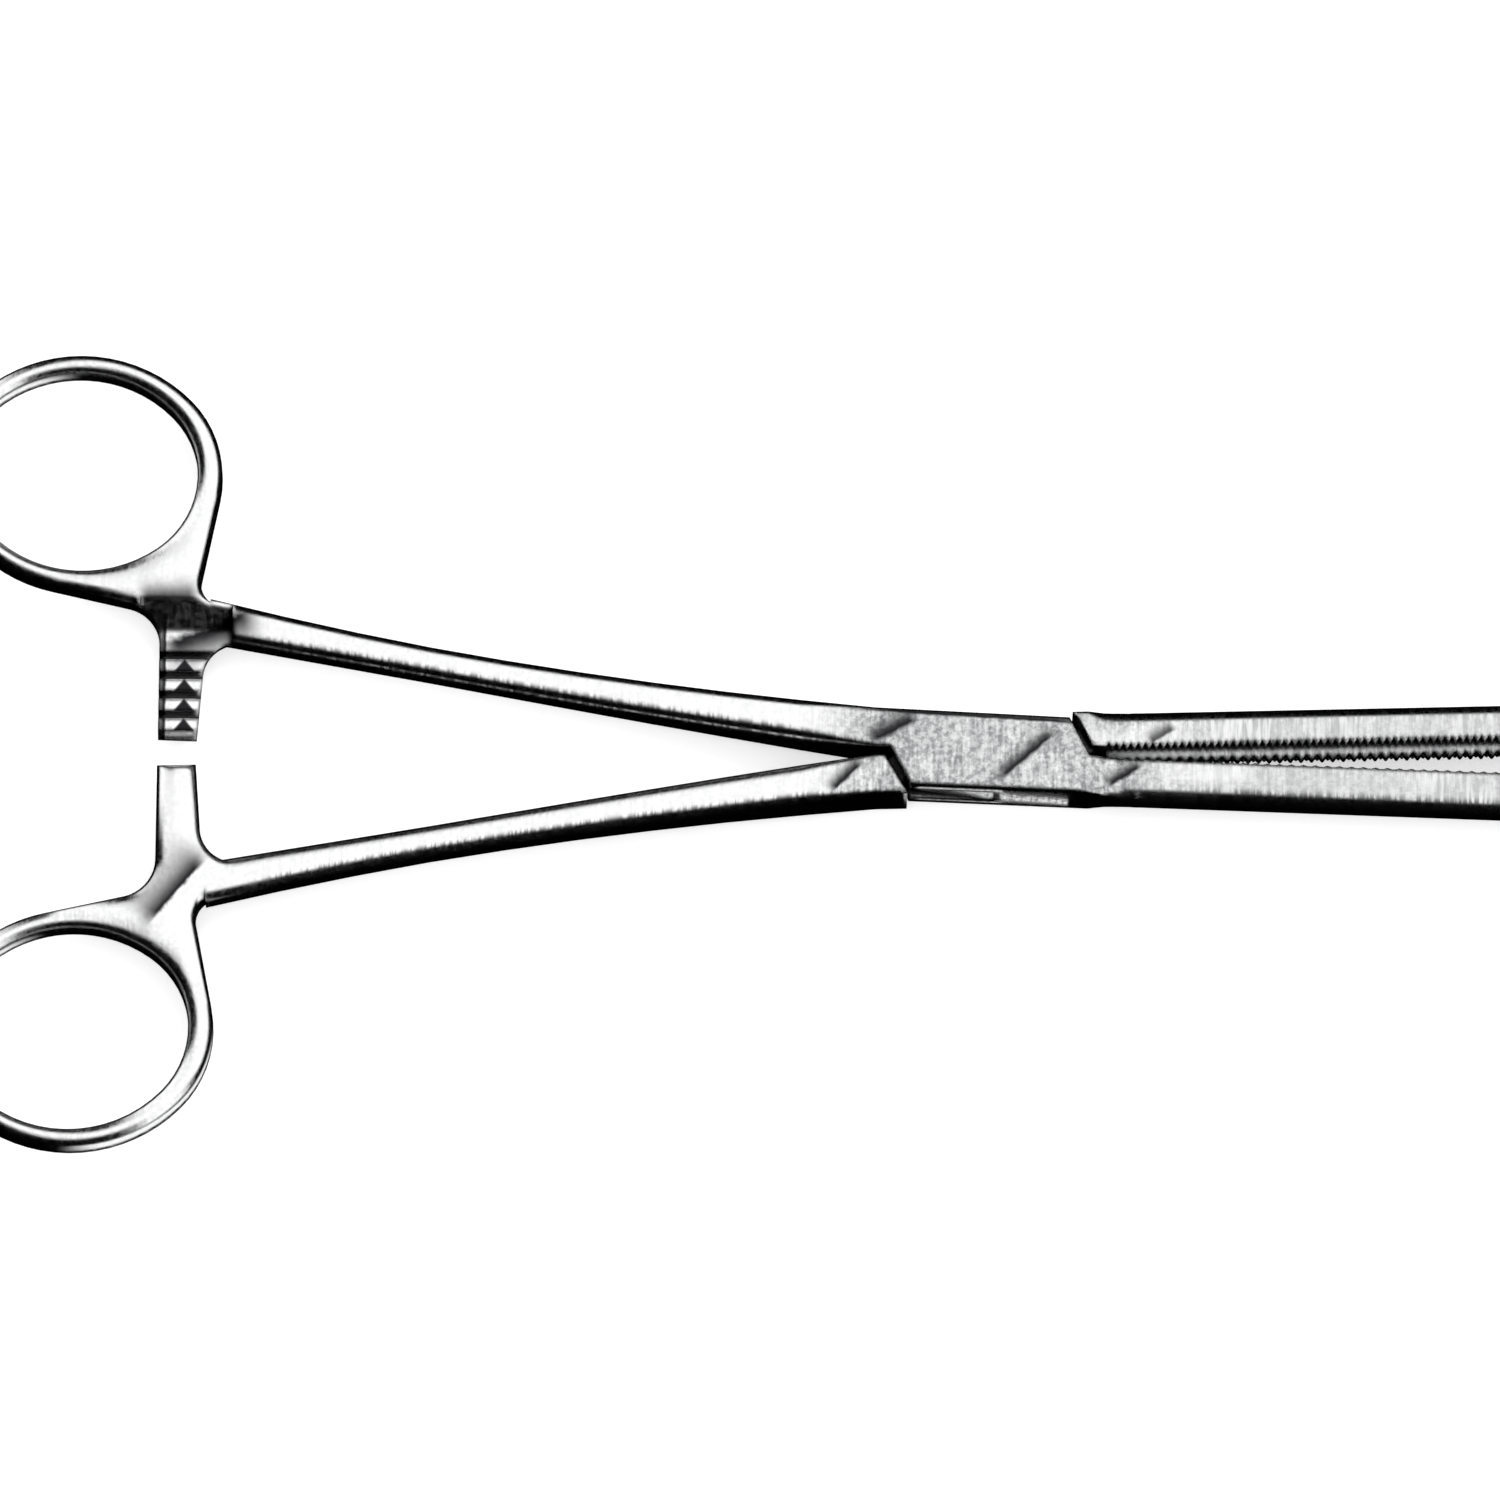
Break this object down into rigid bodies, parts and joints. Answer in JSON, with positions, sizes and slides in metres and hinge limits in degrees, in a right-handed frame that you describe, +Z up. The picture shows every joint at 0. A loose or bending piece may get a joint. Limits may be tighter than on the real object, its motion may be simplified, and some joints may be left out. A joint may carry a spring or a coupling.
{
  "type": "angiotribe forceps",
  "caption": "Ring-handled crushing clamp with a box lock, a ratchet and straight tongue-and-groove serrated jaws, shown a little open.",
  "frame": {"origin": "on the axis of the box lock's pin, at the underside of the box, on which the forceps lie", "axes": "+X along the forceps towards the jaws' tips, +Y across them towards the ring of the box half, +Z up through the thickness"},
  "size_m": [0.1638, 0.0824, 0.0064],
  "materials": {
    "steel": "satin-polished stainless steel",
    "pin_steel": "ground flush with the box"
  },
  "bodies": {
    "box_side": {"box_half": "steel", "lock_pin": "pin_steel"},
    "tenon_side": {"tenon_half": "steel"}
  },
  "joints": [
    {"name": "box_lock", "type": "hinge", "parent": "box_side", "child": "tenon_side", "pos_m": [0, 0, 0], "axis": [0, 0, 1], "range_deg": [-3.7, 26]}
  ]
}
